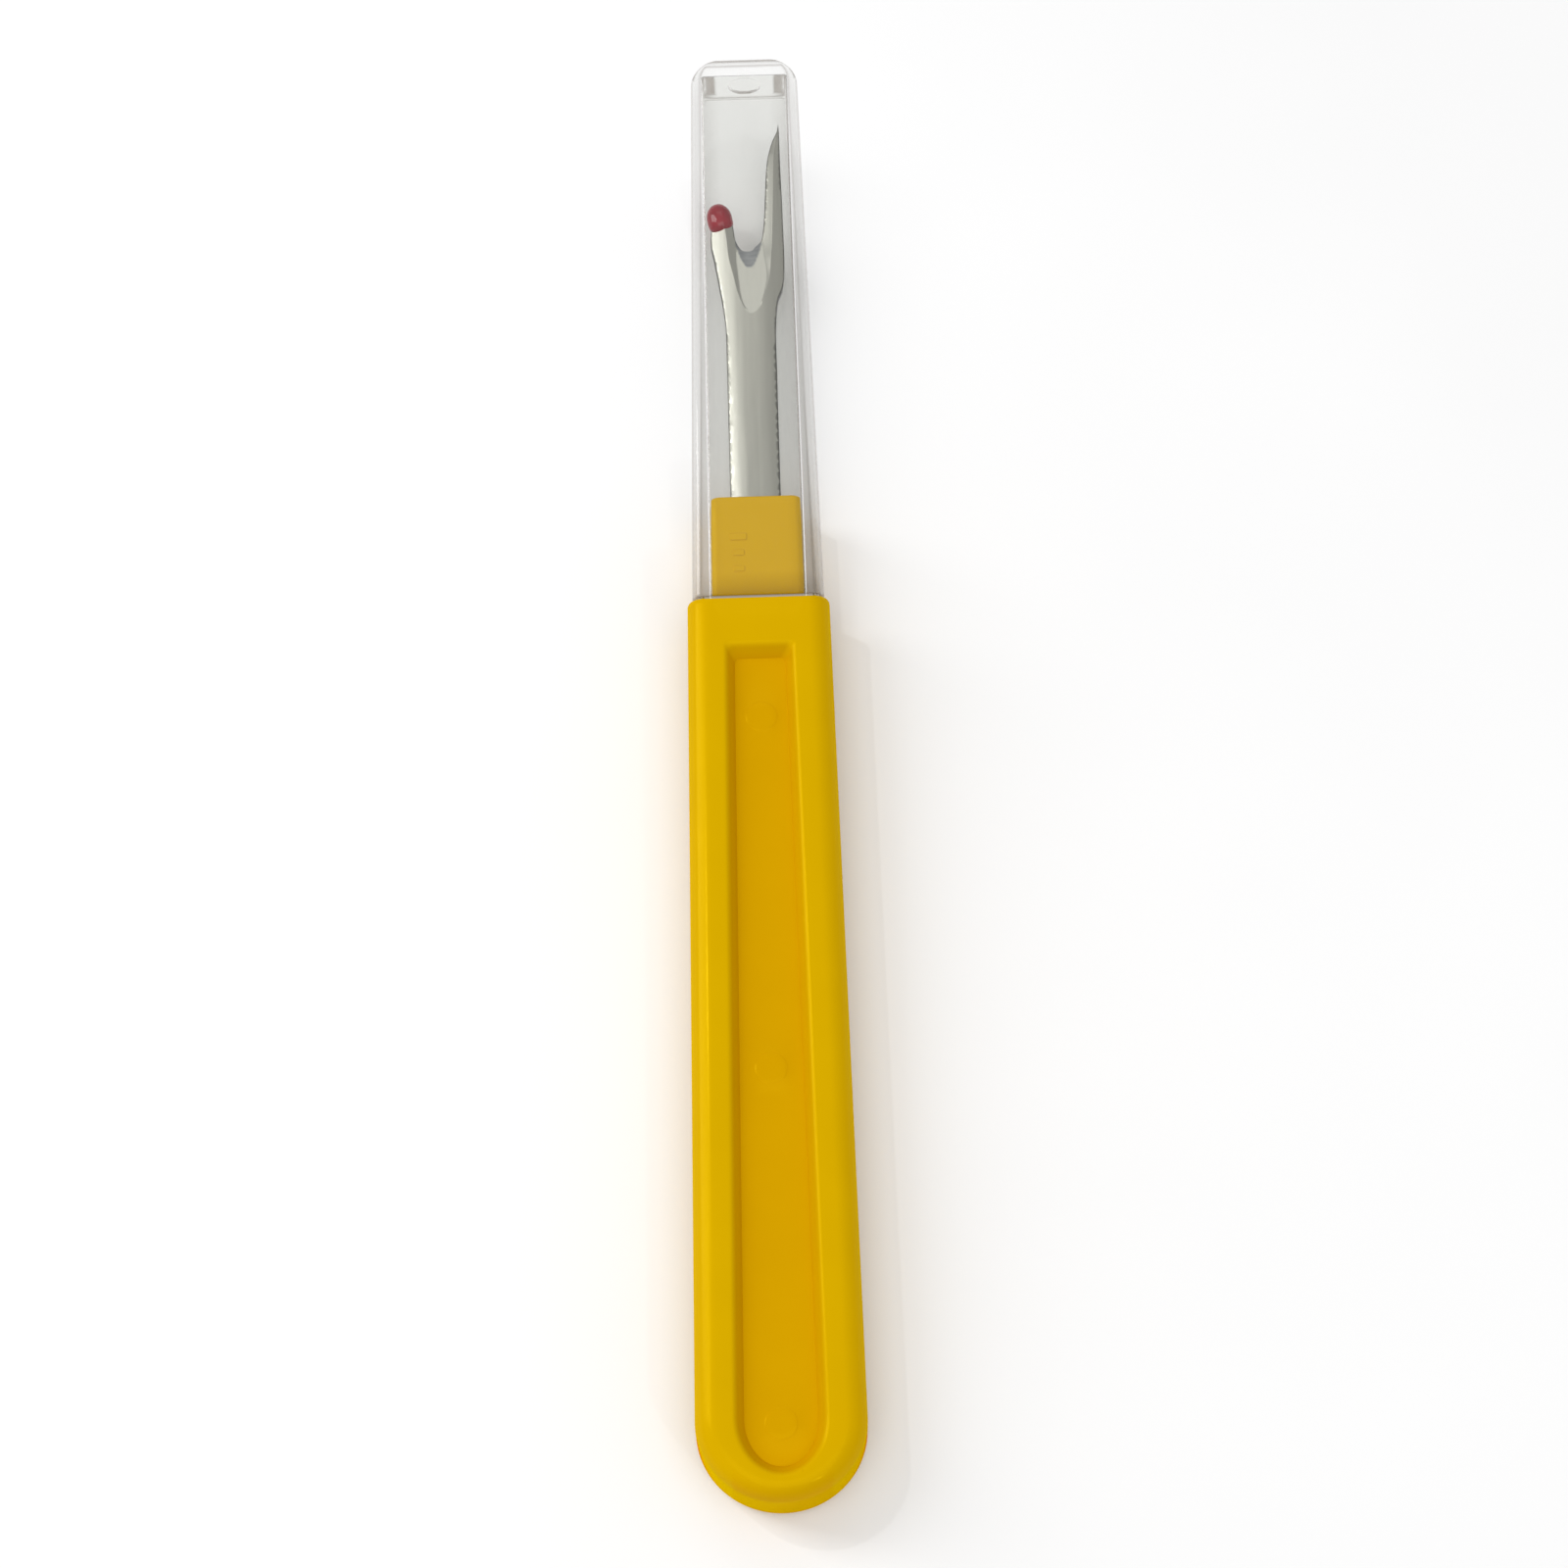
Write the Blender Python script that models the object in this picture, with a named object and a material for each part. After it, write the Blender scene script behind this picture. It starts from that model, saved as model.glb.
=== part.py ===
"""Seam ripper with a clear cap, lying on its back.

Metres, +Z up. X runs across the handle, +Y runs from the butt of the handle to the closed end of the cap.
The origin is on the surface that the handle lies on, half way along the whole object.
Four pieces: a moulded handle with its collar, a steel blade, the bead on its short prong, and the cap.
"""

import math

import bmesh
import bpy
from mathutils import Vector

MM = 0.001

# Overall sizes
LENGTH = 139.7 * MM
HANDLE_LENGTH = 83.8 * MM
THICKNESS = 8.0 * MM
BUTT_Y = -LENGTH / 2
SHOULDER_Y = BUTT_Y + HANDLE_LENGTH
CAP_END_Y = LENGTH / 2
MID_Z = THICKNESS / 2

# Handle
SHOULDER_WIDTH = 13.1 * MM
BUTT_WIDTH = 15.0 * MM
BUTT_DEPTH = 7.2 * MM  # how far the rounded butt reaches past the straight sides
SHOULDER_CORNER = 0.5 * MM
# Rounding of the faces' edges, as set-ins at the side, at the shoulder and at the butt
EDGE_RADIUS = 2.0 * MM
EDGE = (EDGE_RADIUS, 0.4 * MM, 1.6 * MM)
# Recess in each face: set-ins of its floor, and the width of the slope round it, at the same places
RECESS_DEPTH = 1.3 * MM
RECESS_FLOOR = (4.3 * MM, 5.85 * MM, 3.1 * MM)
RECESS_SLOPE = (1.1 * MM, 1.5 * MM, 1.3 * MM)
RECESS_CORNER = 0.5 * MM

# Collar that the cap is pushed onto
COLLAR_LENGTH = 10.4 * MM
COLLAR_BASE = (8.65 * MM, 5.1 * MM)
COLLAR_TOP = (8.4 * MM, 4.95 * MM)
COLLAR_CORNER = 0.7 * MM
COLLAR_EDGE = 0.35 * MM

# Cap: (width, depth) outside and inside, at the mouth and at the closed end
CAP_MOUTH = (12.15 * MM, 7.4 * MM)
CAP_END = (10.2 * MM, 6.8 * MM)
CAVITY_MOUTH = (8.95 * MM, 5.4 * MM)
CAVITY_END = (8.3 * MM, 5.0 * MM)
CAP_CORNER = 1.2 * MM
CAVITY_CORNER = 0.4 * MM
CAP_END_WALL = 1.4 * MM
CAP_END_ROUNDING = 2.4 * MM
CAP_END_EDGE = 0.6 * MM
CAVITY_ROUNDING = 0.4 * MM
DIMPLE_RADIUS = 1.6 * MM
DIMPLE_DEPTH = 0.3 * MM
CAP_GAP = 0.1 * MM

# Blade: a strip bent to a shallow gutter, crown up, with its tang inside the handle
STEEL = 0.9 * MM
GUTTER_RADIUS = 6.5 * MM
CROWN_Z = MID_Z + 0.8 * MM
SHANK_HALF = 2.35 * MM
TANG_Y = 1.0 * MM
PRONG_TIP = (3.15 * MM, 64.5 * MM)
CROTCH = (-0.15 * MM, 50.8 * MM)
TANG_GAP = 0.1 * MM

# Hollow ground into the crown, down to the cutting edge in the crotch
HOLLOW_START_Y = 43.8 * MM
HOLLOW_FLAT_HALF = 0.9 * MM
HOLLOW_SLOPE = 0.1
HOLLOW_WALL_SLOPE = 0.45

# Bead on the short prong
BEAD_CENTRE = Vector((-2.71 * MM, 54.35 * MM, MID_Z - 0.24 * MM))
BEAD_HALF = Vector((1.22 * MM, 1.45 * MM, 1.15 * MM))
BEAD_LEAN = math.radians(11)
NIB_HALF = 0.5 * MM
NIB_LENGTH = 1.6 * MM
BEAD_GAP = 0.08 * MM


def material(name, colour, roughness, metallic=0.0, transmission=0.0):
    made = bpy.data.materials.new(name)
    made.use_nodes = True
    shader = made.node_tree.nodes["Principled BSDF"]
    shader.inputs["Base Color"].default_value = (*colour, 1)
    shader.inputs["Roughness"].default_value = roughness
    shader.inputs["Metallic"].default_value = metallic
    shader.inputs["Transmission Weight"].default_value = transmission
    return made


def arc(centre, half_x, half_y, start_deg, end_deg, steps):
    """Points on an ellipse's arc, both ends included, as (x, y)."""
    turns = [math.radians(start_deg + (end_deg - start_deg) * i / steps) for i in range(steps + 1)]
    return [(centre[0] + half_x * math.cos(t), centre[1] + half_y * math.sin(t)) for t in turns]


def rounded_rectangle(half_width, half_depth, corner, steps=3):
    """A closed outline about the origin, anticlockwise."""
    points = []
    for index, (sign_x, sign_y) in enumerate(((1, 1), (-1, 1), (-1, -1), (1, -1))):
        centre = (sign_x * (half_width - corner), sign_y * (half_depth - corner))
        points += arc(centre, corner, corner, 90 * index, 90 * index + 90, steps)
    return points


def smooth_line(points, steps=3):
    """A curve through the points, with `steps` pieces between each pair of them."""
    ends = [points[0], *points, points[-1]]
    line = []
    for four in zip(ends, ends[1:], ends[2:], ends[3:]):
        for i in range(steps):
            t = i / steps
            weights = (-t + 2 * t**2 - t**3, 2 - 5 * t**2 + 3 * t**3, t + 4 * t**2 - 3 * t**3, t**3 - t**2)
            line.append(tuple(sum(w * p[axis] for w, p in zip(weights, four)) / 2 for axis in (0, 1)))
    return [*line, points[-1]]


def object_from(name, mesh, finish=None):
    made = bpy.data.objects.new(name, mesh)
    bpy.context.scene.collection.objects.link(made)
    if finish:
        mesh.materials.append(finish)
    else:
        made.hide_render = True
        made.display_type = "WIRE"
    return made


def loft(name, rings, finish=None):
    """A closed solid through rings of equally many points, with a flat face at each end."""
    shape = bmesh.new()
    loops = [[shape.verts.new(point) for point in ring] for ring in rings]
    for first, second in zip(loops, loops[1:]):
        for i, corner in enumerate(first):
            j = (i + 1) % len(first)
            shape.faces.new((corner, first[j], second[j], second[i]))
    shape.faces.new(reversed(loops[0]))
    shape.faces.new(loops[-1])
    bmesh.ops.recalc_face_normals(shape, faces=shape.faces)
    mesh = bpy.data.meshes.new(name)
    shape.to_mesh(mesh)
    shape.free()
    mesh.shade_smooth()
    mesh.set_sharp_from_angle(angle=math.radians(35))
    return object_from(name, mesh, finish)


def boolean(target, tool, operation):
    modifier = target.modifiers.new(tool.name, "BOOLEAN")
    modifier.operation = operation
    modifier.object = tool
    modifier.solver = "EXACT"


# ---- Handle ----


def half_width(y):
    """The handle's half width where its straight side is at y."""
    arc_y = BUTT_Y + BUTT_DEPTH
    along = (SHOULDER_Y - y) / (SHOULDER_Y - arc_y)
    return (SHOULDER_WIDTH + (BUTT_WIDTH - SHOULDER_WIDTH) * along) / 2


def handle_ring(z, set_in, corner):
    """The handle's outline at height z, set in from its sides, its shoulder and its butt."""
    side, shoulder, butt = set_in
    top_y = SHOULDER_Y - shoulder
    arc_y = BUTT_Y + BUTT_DEPTH
    outline = []
    for sign, start in ((1, 0), (-1, 90)):
        centre = (sign * (half_width(top_y) - side - corner), top_y - corner)
        outline += arc(centre, corner, corner, start, start + 90, 3)
    outline += arc((0, arc_y), half_width(arc_y) - side, BUTT_DEPTH - butt, 180, 360, 20)
    return [Vector((x, y, z)) for x, y in outline]


def handle_half(direction):
    """Rings on one face: from the recess's floor up its slope, and over the rim to the side."""
    face = THICKNESS / 2
    slope = [(1.0, 0.0), (0.6, 0.3), (0.22, 0.6), (0.04, 0.85), (0.0, 1.0)]  # (depth, way outwards)
    rings = []
    for depth, out in slope:
        set_in = [floor - out * width for floor, width in zip(RECESS_FLOOR, RECESS_SLOPE)]
        rings.append(handle_ring(MID_Z + direction * (face - RECESS_DEPTH * depth), set_in, RECESS_CORNER))
    steps = 4
    for i in range(steps + 1):
        turn = math.radians(90 * i / steps)
        set_in = [edge * (1 - math.sin(turn)) for edge in EDGE]
        down = EDGE_RADIUS * (1 - math.cos(turn))
        rings.append(handle_ring(MID_Z + direction * (face - down), set_in, SHOULDER_CORNER))
    return rings


def collar_rings():
    """Rings of the collar, from inside the handle to its free end."""
    end_y = SHOULDER_Y + COLLAR_LENGTH
    stations = [
        (SHOULDER_Y - 2 * MM, COLLAR_BASE, 0),
        (SHOULDER_Y, COLLAR_BASE, 0),
        (end_y - COLLAR_EDGE, COLLAR_TOP, 0),
        (end_y - COLLAR_EDGE * 0.3, COLLAR_TOP, COLLAR_EDGE * 0.3),
        (end_y, COLLAR_TOP, COLLAR_EDGE),
    ]
    return [
        [
            Vector((x, y, MID_Z + z))
            for x, z in rounded_rectangle(width / 2 - inset, depth / 2 - inset, COLLAR_CORNER)
        ]
        for y, (width, depth), inset in stations
    ]


def gutter_section(margin, half):
    """The strip's bent section as (x, z), grown by margin, out to half a width of `half`."""
    outer, inner = GUTTER_RADIUS + margin, GUTTER_RADIUS - STEEL - margin
    axis = (0, CROWN_Z - GUTTER_RADIUS)
    outer_turn = math.degrees(math.asin(half / outer))
    inner_turn = math.degrees(math.asin(half / inner))
    return [
        *arc(axis, outer, outer, 90 - outer_turn, 90 + outer_turn, 12),
        *arc(axis, inner, inner, 90 + inner_turn, 90 - inner_turn, 12),
    ]


def gutter(name, start_y, end_y, margin, half):
    """A straight length of the bent strip."""
    section = gutter_section(margin, half)
    return loft(name, [[Vector((x, y, z)) for x, z in section] for y in (start_y, end_y)])


def build_handle(finish):
    front, back = handle_half(1), handle_half(-1)
    handle = loft("handle", [*front, *reversed(back)], finish)
    boolean(handle, loft("collar_tool", collar_rings()), "UNION")
    pocket = gutter(
        "tang_pocket_tool",
        TANG_Y - TANG_GAP,
        SHOULDER_Y + COLLAR_LENGTH + 5 * MM,
        TANG_GAP,
        SHANK_HALF + TANG_GAP,
    )
    boolean(handle, pocket, "DIFFERENCE")
    return handle


# ---- Blade ----


def mm_points(pairs):
    return [(x * MM, y * MM) for x, y in pairs]


def bead_point(across, along):
    """A point (x, y) given from the bead's centre, across and along the short prong."""
    cos, sin = math.cos(BEAD_LEAN), math.sin(BEAD_LEAN)
    return (BEAD_CENTRE.x + across * cos - along * sin, BEAD_CENTRE.y + across * sin + along * cos)


def blade_outline():
    """The flat outline of tang, shank and fork, anticlockwise from the tang's right corner."""
    long_outer = mm_points([(2.34, 42.0), (2.54, 44.7), (3.05, 46.6), (3.37, 49.3), (3.33, 54.8), (3.2, 60.5)])
    long_inner = mm_points([(2.9, 63.3), (2.22, 61.3), (1.8, 58.3), (1.58, 54.5), (1.2, 51.8)])
    short_inner = mm_points([(-0.85, 51.1), (-1.3, 52.1)])
    short_outer = mm_points([(-3.29, 49.8), (-2.76, 46.1), (-2.34, 42.0)])
    shoulder = -1.2 * MM
    neck = [
        bead_point(1.0 * MM, shoulder),
        bead_point(NIB_HALF, shoulder),
        bead_point(NIB_HALF, shoulder + NIB_LENGTH),
        bead_point(-NIB_HALF, shoulder + NIB_LENGTH),
        bead_point(-NIB_HALF, shoulder),
        bead_point(-1.02 * MM, shoulder),
    ]
    return [
        (SHANK_HALF, TANG_Y),
        (SHANK_HALF, 38 * MM),
        *smooth_line(long_outer),
        PRONG_TIP,
        *smooth_line([*long_inner, (0.6 * MM, 51.2 * MM), CROTCH, *short_inner]),
        *neck,
        *smooth_line(short_outer),
        (-SHANK_HALF, 38 * MM),
        (-SHANK_HALF, TANG_Y),
    ]


def hollow_rings():
    """The tool that grinds the hollow: a trough whose floor goes down towards the prongs."""
    rings = []
    top_z = CROWN_Z + 1 * MM
    for y in (HOLLOW_START_Y, PRONG_TIP[1] + 2 * MM):
        floor_z = CROWN_Z - min((y - HOLLOW_START_Y) * HOLLOW_SLOPE, STEEL)
        top_half = HOLLOW_FLAT_HALF + (top_z - floor_z) / HOLLOW_WALL_SLOPE
        rings.append(
            [
                Vector((top_half, y, top_z)),
                Vector((-top_half, y, top_z)),
                Vector((-HOLLOW_FLAT_HALF, y, floor_z)),
                Vector((HOLLOW_FLAT_HALF, y, floor_z)),
            ]
        )
    return rings


def build_blade(finish):
    outline = blade_outline()
    blade = loft("blade", [[Vector((x, y, z)) for x, y in outline] for z in (0, THICKNESS)], finish)
    strip = gutter("gutter_tool", TANG_Y - 1 * MM, PRONG_TIP[1] + 1 * MM, 0, 4.2 * MM)
    boolean(blade, strip, "INTERSECT")
    boolean(blade, loft("hollow_tool", hollow_rings()), "DIFFERENCE")
    return blade


# ---- Bead ----


def build_bead(finish):
    """A drop of plastic, domed at its free end and squarer round the prong, with a pocket for the nib."""
    rings = []
    rows, around = 12, 20
    for row in range(1, rows):
        turn = math.pi * (row / rows - 0.5)
        squareness = 1.0 if turn > 0 else 0.6
        along = BEAD_HALF.y * math.copysign(abs(math.sin(turn)) ** squareness, turn)
        reach = math.cos(turn) ** squareness
        ring = []
        for i in range(around):
            angle = 2 * math.pi * i / around
            x, y = bead_point(BEAD_HALF.x * reach * math.cos(angle), along)
            ring.append(Vector((x, y, BEAD_CENTRE.z + BEAD_HALF.z * reach * math.sin(angle))))
        rings.append(ring)
    bead = loft("safety_bead", rings, finish)

    gap = BEAD_GAP
    shoulder = -1.2 * MM + gap
    wide, nib, deep = 1.6 * MM, NIB_HALF + gap, shoulder + NIB_LENGTH
    outline = [
        bead_point(-wide, -3 * MM),
        bead_point(wide, -3 * MM),
        bead_point(wide, shoulder),
        bead_point(nib, shoulder),
        bead_point(nib, deep),
        bead_point(-nib, deep),
        bead_point(-nib, shoulder),
        bead_point(-wide, shoulder),
    ]
    pocket = loft("bead_pocket_tool", [[Vector((x, y, z)) for x, y in outline] for z in (0, THICKNESS)])
    strip = gutter("bead_gutter_tool", 45 * MM, 60 * MM, gap, 4.8 * MM)
    boolean(pocket, strip, "INTERSECT")
    boolean(bead, pocket, "DIFFERENCE")
    return bead


# ---- Cap ----


def cap_ring(y, size, inset, corner):
    half = (size[0] / 2 - inset[0], size[1] / 2 - inset[1])
    corner = max(corner - min(inset), 0.2 * MM)
    return [Vector((x, y, MID_Z + z)) for x, z in rounded_rectangle(*half, corner)]


def dimple_ring(y):
    """A circle round the cap's axis, whose points match those of a cap ring."""
    ring = []
    for quarter in range(4):
        for x, z in arc((0, 0), DIMPLE_RADIUS, DIMPLE_RADIUS, 90 * quarter + 8, 90 * quarter + 82, 3):
            ring.append(Vector((x, y, MID_Z + z)))
    return ring


def domed_end(end_y, size, corner, rounding, edge, steps):
    """Rings that close an end, rounded by `rounding` across its width and by the smaller `edge` elsewhere."""
    rings = []
    for i in range(steps + 1):
        turn = math.radians(90 * (steps - i) / steps)
        back = rounding * (1 - math.sin(turn))
        rise = max(1 - back / edge, 0)
        inset = (rounding * (1 - math.cos(turn)), edge * (1 - math.sqrt(1 - rise**2)))
        rings.append(cap_ring(end_y - back, size, inset, corner))
    return rings


def build_cap(finish):
    mouth_y = SHOULDER_Y + CAP_GAP
    cavity_end_y = CAP_END_Y - CAP_END_WALL
    rings = [
        *domed_end(CAP_END_Y, CAP_END, CAP_CORNER, CAP_END_ROUNDING, CAP_END_EDGE, 5),
        cap_ring(mouth_y, CAP_MOUTH, (0, 0), CAP_CORNER),
        cap_ring(mouth_y, CAVITY_MOUTH, (0, 0), CAVITY_CORNER),
        *reversed(domed_end(cavity_end_y, CAVITY_END, CAVITY_CORNER, CAVITY_ROUNDING, CAVITY_ROUNDING, 2)),
        dimple_ring(cavity_end_y),
        dimple_ring(cavity_end_y + DIMPLE_DEPTH),
    ]
    return loft("cap", rings, finish)


def build():
    for old in list(bpy.data.objects):
        bpy.data.objects.remove(old)
    build_handle(material("handle_yellow", (0.68, 0.40, 0.005), 0.3))
    build_blade(material("blade_steel", (0.62, 0.62, 0.58), 0.3, metallic=1.0))
    build_bead(material("bead_red", (0.30, 0.02, 0.03), 0.3))
    build_cap(material("cap_clear", (0.93, 0.94, 0.92), 0.08, transmission=1.0))


build()
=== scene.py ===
"""The looks of the seam ripper: fine meshes, materials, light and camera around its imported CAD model.

In metres, in the model's own frame: +X across, +Y to the cap's closed end, +Z out of the front face.
"""

import math

import bmesh
import bpy
import numpy as np
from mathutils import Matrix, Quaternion, Vector
from mathutils.geometry import delaunay_2d_cdt


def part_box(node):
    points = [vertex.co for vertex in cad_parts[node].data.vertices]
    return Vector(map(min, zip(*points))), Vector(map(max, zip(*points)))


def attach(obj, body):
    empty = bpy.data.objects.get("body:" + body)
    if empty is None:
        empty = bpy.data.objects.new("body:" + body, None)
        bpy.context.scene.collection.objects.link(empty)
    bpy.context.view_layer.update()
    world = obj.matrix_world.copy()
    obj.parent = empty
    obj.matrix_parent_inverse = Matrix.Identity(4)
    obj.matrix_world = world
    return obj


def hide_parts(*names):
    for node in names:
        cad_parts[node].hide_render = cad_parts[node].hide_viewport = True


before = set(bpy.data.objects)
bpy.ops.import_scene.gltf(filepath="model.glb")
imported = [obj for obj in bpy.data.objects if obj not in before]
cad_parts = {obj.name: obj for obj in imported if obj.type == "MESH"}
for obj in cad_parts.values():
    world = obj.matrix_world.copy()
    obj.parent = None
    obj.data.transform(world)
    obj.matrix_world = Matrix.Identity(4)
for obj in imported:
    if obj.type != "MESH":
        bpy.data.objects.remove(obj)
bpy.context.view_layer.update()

MM = 0.001
HANDLE_LOW, HANDLE_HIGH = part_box("handle")
BLADE_LOW, BLADE_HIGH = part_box("blade")
BEAD_LOW, BEAD_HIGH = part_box("safety_bead")
CAP_LOW, CAP_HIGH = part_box("cap")
MID_Z = (HANDLE_LOW.z + HANDLE_HIGH.z) / 2
SHARP_DEG = {"handle": 32, "blade": 24, "bead": 60, "cap": 35}

# Handle: three sizes together are at its sides, at its shoulder and at its butt
HALF_THICKNESS = (HANDLE_HIGH.z - HANDLE_LOW.z) / 2
BUTT_Y = HANDLE_LOW.y
COLLAR_LENGTH = 10.4 * MM
SHOULDER_Y = HANDLE_HIGH.y - COLLAR_LENGTH
SHOULDER_WIDTH = 13.1 * MM
BUTT_WIDTH = HANDLE_HIGH.x - HANDLE_LOW.x
BUTT_DEPTH = 7.2 * MM
EDGE_RADIUS = 2.0 * MM
EDGE = (EDGE_RADIUS, 0.4 * MM, 1.6 * MM)
EDGE_STEPS = 12
SHOULDER_CORNER = 0.5 * MM
RECESS_DEPTH = 1.3 * MM
RECESS_FLOOR = (4.3 * MM, 5.85 * MM, 3.1 * MM)
RECESS_SLOPE = (1.1 * MM, 1.5 * MM, 1.3 * MM)
RECESS_CORNER = 0.5 * MM
# The slope round the recess, as (share of the depth, share of the way outwards)
RECESS_WALL = ((1.0, 0.0), (0.7, 0.2), (0.4, 0.43))
RECESS_BROW = ((0.4, 0.43), (0.18, 0.56), (0.0, 0.72), (0.0, 1.0))
RECESS_BROW_STEPS = 10
OUTLINE_STEPS = {"corner": 8, "shoulder": 12, "side": 48, "butt": 64}
FLOOR_MERGE = 1e-6
EJECTOR_RADIUS = 1.45 * MM
EJECTOR_STEP = 0.05 * MM
# The mark's rim slopes between these shares of its radius, with rings of points at EJECTOR_RINGS
EJECTOR_SLOPE = (0.93, 1.03)
EJECTOR_RINGS = (0.5, 0.93, 0.96, 1.0, 1.03)
EJECTOR_POINTS = 60
EJECTOR_YS = (2.4 * MM, -31.0 * MM, -63.0 * MM)
COLLAR_ROOT = 2 * MM
COLLAR_BASE = (8.65 * MM, 5.1 * MM)
COLLAR_TOP = (8.4 * MM, 4.95 * MM)
COLLAR_CORNER = 0.7 * MM
COLLAR_EDGE = 0.35 * MM
COLLAR_STEPS = 10
COLLAR_EDGE_STEPS = 8
RIB_X = -1.7 * MM
RIB_YS = (20.2 * MM, 18.6 * MM, 17.0 * MM)
RIB_SIZES = ((1.6 * MM, 0.7 * MM), (1.1 * MM, 0.6 * MM), (1.1 * MM, 0.6 * MM))
RIB_TOP = MID_Z + 2.59 * MM
RIB_HEIGHT = 0.6 * MM
RIB_EDGE = 0.05 * MM
RIB_CORNER = 0.15 * MM

# Cap
CAP_MOUTH = (CAP_HIGH.x - CAP_LOW.x, CAP_HIGH.z - CAP_LOW.z)
CAP_END = (10.2 * MM, 6.8 * MM)
CAVITY_MOUTH = (8.95 * MM, 5.4 * MM)
CAVITY_END = (8.3 * MM, 5.0 * MM)
CAP_CORNER = 1.2 * MM
CAVITY_CORNER = 0.35 * MM
SMALLEST_CORNER = 0.2 * MM
CAP_END_WALL = 1.4 * MM
CAP_END_ROUNDING = 2.4 * MM
CAP_END_EDGE = 0.6 * MM
CAVITY_ROUNDING = 0.4 * MM
CAP_LIP = 0.15 * MM
DIMPLE_RADIUS = 1.6 * MM
DIMPLE_DEPTH = 0.3 * MM
# The dimple's wall, as (share of its depth, how much narrower it is there)
DIMPLE_WALL = ((0, 0), (0.3, 0.05 * MM), (1, 0.1 * MM))
CAP_STEPS = 24
CAP_CORNER_STEPS = 12
CAP_END_STEPS = 14
CAVITY_END_STEPS = 8
# Painted shade: dark lines along the outline and inside it, an even darkening on the walls, and a dark
# ring in the dimple, where the clear plastic looks dark by refraction
END_FACE = 0.01 * MM
OUTLINE_WIDTH = 0.35 * MM
INNER_LINE = 0.9 * MM
INNER_LINE_WIDTH = 0.25 * MM
INNER_LINE_SHADE = 0.7
WALL_WIDTH = 1.4 * MM
WALL_SHADE = 0.33
WALL_FADE = 2 * CAP_END_ROUNDING
CAVITY_SIDE = 0.7 * MM
DIMPLE_SHADE = 0.6
DIMPLE_SHADE_SHARES = (0.2, 0.8)

# Blade, in millimetres: its outline is filled flat and then lifted to its front and back surfaces
STEEL = 0.9
GUTTER_RADIUS = 6.5
CROWN_Z = MID_Z / MM + 0.8
SHANK_HALF = 2.35
SHANK_STEPS = 40
SHANK_END_Y = 42.0
TANG_Y = BLADE_LOW.y / MM
TIP = (3.15, BLADE_HIGH.y / MM)
HOLLOW_START_Y = 43.84
HOLLOW_SLOPE = 0.1
HOLLOW_WALL = 0.7
HOLLOW_SHADE = 0.08
BEYOND_TIP = (0, 66)
BEVEL_START_Y = 48.85
BEVEL_SLOPE = 0.19
BEVEL_RADIUS = 3.15
BEVEL_X = (-1.3, 1.2)
BEVEL_LOWEST_Y = BEVEL_START_Y - 1
BLADE_MERGE = 1e-5
BLANK_ROUNDING = 0.11
ROUNDING_LIMIT = 0.3
ROUNDING_ROWS = (0.12, 0.35, 0.65, 1.0)
EDGE_THICKNESS = 0.03
TIP_TAPER = 3.5
TIP_THINNEST = 0.12
FORK_Y = 41.0
# How far the mesh's free points keep from the border, as a share of their row's depth and of
# BLANK_ROUNDING, and from the hollow's ridge
ROW_SPARE = 0.9
GRID_SPARE = 1.3
RIDGE_SPARE = 0.05
FORK_STEP = (0.14, 0.14)
SHANK_STEP = (0.25, 0.8)
GRID_HALF_WIDTH = 4

# Bead
BEAD_CENTRE = Vector((-2.71 * MM, 54.35 * MM, (BEAD_LOW.z + BEAD_HIGH.z) / 2))
BEAD_HALF = Vector((1.22 * MM, 1.52 * MM, (BEAD_HIGH.z - BEAD_LOW.z) / 2))
BEAD_LEAN = math.radians(11)
BEAD_SQUARENESS = 0.65
BEAD_ROWS = 40
BEAD_AROUND = 64

# Camera
CAMERA_TARGET = Vector((1.86 * MM, -3.22 * MM, 4 * MM))
CAMERA_DISTANCE = 430 * MM
CAMERA_TILT = math.radians(20.13)
CAMERA_ROLL = math.radians(-1.69)
CAMERA_LENS = 108.15


# ---- Outlines and meshes ----

CDT_INSIDE = 1  # delaunay_2d_cdt keeps only the triangles inside the outline


def arc(centre, half_x, half_y, start_deg, end_deg, steps):
    """Points on an ellipse's arc, both ends included, as (x, y)."""
    turns = [math.radians(start_deg + (end_deg - start_deg) * i / steps) for i in range(steps + 1)]
    return [(centre[0] + half_x * math.cos(t), centre[1] + half_y * math.sin(t)) for t in turns]


def between(start, end, steps):
    """Points on the straight line from start to end, both ends left out."""
    return [tuple(s + (e - s) * i / steps for s, e in zip(start, end)) for i in range(1, steps)]


def smooth_line(points, steps=6):
    """A curve through the points, with `steps` pieces between each pair of them."""
    ends = [points[0], *points, points[-1]]
    line = []
    for four in zip(ends, ends[1:], ends[2:], ends[3:]):
        for i in range(steps):
            t = i / steps
            weights = (
                -t + 2 * t**2 - t**3,
                2 - 5 * t**2 + 3 * t**3,
                t + 4 * t**2 - 3 * t**3,
                t**3 - t**2,
            )
            line.append(tuple(sum(w * p[axis] for w, p in zip(weights, four)) / 2 for axis in (0, 1)))
    return [*line, points[-1]]


def bezier(controls, steps):
    """Points along a Bezier curve with four control points, its first point left out."""
    points = []
    for i in range(1, steps + 1):
        t = i / steps
        weights = ((1 - t) ** 3, 3 * (1 - t) ** 2 * t, 3 * (1 - t) * t**2, t**3)
        points.append(tuple(sum(w * p[axis] for w, p in zip(weights, controls)) for axis in (0, 1)))
    return points


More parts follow.
